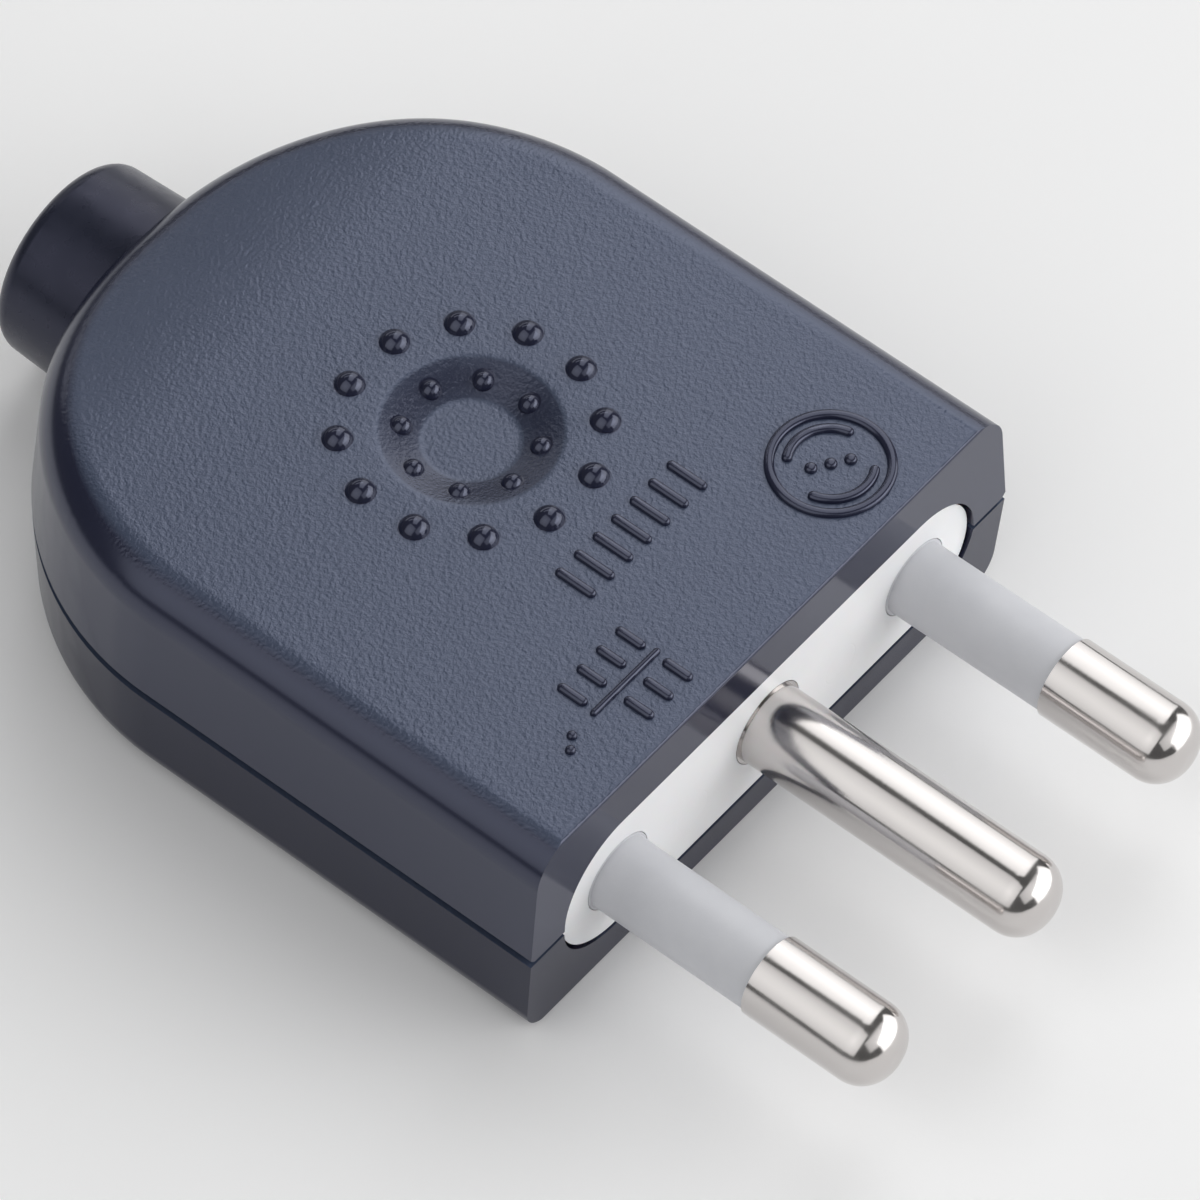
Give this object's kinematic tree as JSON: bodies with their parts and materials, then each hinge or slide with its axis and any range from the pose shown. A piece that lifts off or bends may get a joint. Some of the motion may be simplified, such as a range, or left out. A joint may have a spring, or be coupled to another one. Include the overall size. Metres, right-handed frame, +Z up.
{
  "type": "straight plug",
  "caption": "Rewirable straight mains plug with pins in one line, rounded dark two-part housing, light pin carrier and a short round cable collar.",
  "frame": {"origin": "on the earth pin's axis in the plane of the mating face, which is the joint plane between the covers", "axes": "+Z up from the bottom cover that it lies on, pins point to -Y, cable leaves to +Y, +X across the pins towards the live pin"},
  "size_m": [0.0416, 0.0714, 0.0169],
  "materials": {
    "cover": "spark-eroded anthracite thermoplastic, semi-matt",
    "collar": "smooth satin black thermoplastic",
    "carrier": "smooth light grey thermoset",
    "sleeve": "matt grey moulded insulation",
    "pin": "nickel plated, bright",
    "screw": "zinc plated",
    "terminal_screw": "yellow passivated zinc",
    "plate": "zinc plated strip",
    "nut": "plain brass",
    "clamp": "grey thermoplastic"
  },
  "bodies": {
    "root": {"top_cover": "cover", "bottom_cover": "cover", "pin_carrier": "carrier", "cable_collar": "collar", "cord_clamp": "clamp", "cord_clamp_screw_left": "screw", "cord_clamp_screw_right": "screw", "housing_screw": "screw", "housing_nut": "nut", "live_pin": "pin", "live_terminal_screw": "terminal_screw", "live_clamp_plate": "plate", "neutral_pin": "pin", "neutral_terminal_screw": "terminal_screw", "neutral_clamp_plate": "plate", "earth_pin": "pin", "earth_terminal_screw": "terminal_screw", "earth_clamp_plate": "plate", "live_pin_sleeve": "sleeve", "neutral_pin_sleeve": "sleeve"}
  },
  "joints": []
}
